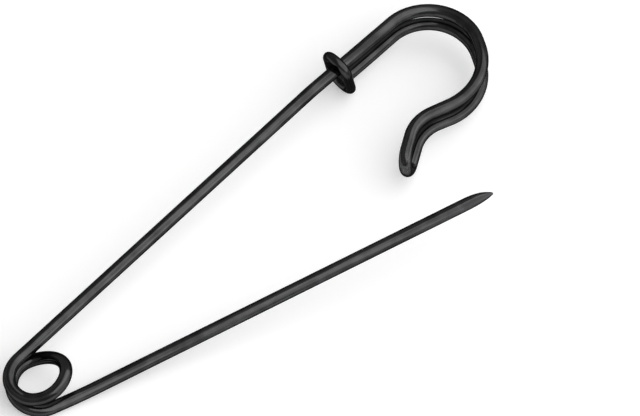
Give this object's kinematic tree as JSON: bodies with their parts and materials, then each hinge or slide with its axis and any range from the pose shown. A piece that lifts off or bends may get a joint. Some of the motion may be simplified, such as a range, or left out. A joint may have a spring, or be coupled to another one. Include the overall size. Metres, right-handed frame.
{
  "type": "safety pin",
  "caption": "All-wire safety pin with a spring coil, a round doubled-wire head, a hairpin hook and an oval collar ring, shown open.",
  "frame": {"origin": "middle of the coil's eye, on the coil's axis", "axes": "+X along the back stem from the coil to the head, -Y towards the side to which the arm opens, +Z along the coil's axis towards the stem's strand"},
  "size_m": [0.1021, 0.0397, 0.0116],
  "materials": {
    "blackened_wire": "black-finished hard spring wire, smooth and glossy",
    "blackened_ring": "black-finished soft wire, smooth and glossy",
    "ground_point": "ground and blackened, slightly brighter than the wire"
  },
  "bodies": {
    "wire_frame": {"back_stem": "blackened_wire", "coil_spring": "blackened_wire", "guard_upper_strand": "blackened_wire", "hook_bend": "blackened_wire", "guard_lower_strand": "blackened_wire", "collar_ring": "blackened_ring"},
    "arm_base": {"arm_root": "blackened_wire"},
    "arm": {"pin_arm": "blackened_wire", "pin_point": "ground_point"}
  },
  "joints": [
    {"name": "arm_swing", "type": "hinge", "parent": "wire_frame", "child": "arm_base", "pos_m": [0, 0, 0], "axis": [0, 0, 1], "range_deg": [-15, 17], "stiffness_Nm_per_rad": 0.25, "deforming": ["coil_spring"]},
    {"name": "arm_side_flex", "type": "hinge", "parent": "arm_base", "child": "arm", "pos_m": [0.00343, -0.0059, -0.00191], "axis": [0.3453, 0.9385, 0], "range_deg": [-4, 4.25], "stiffness_Nm_per_rad": 0.25}
  ]
}
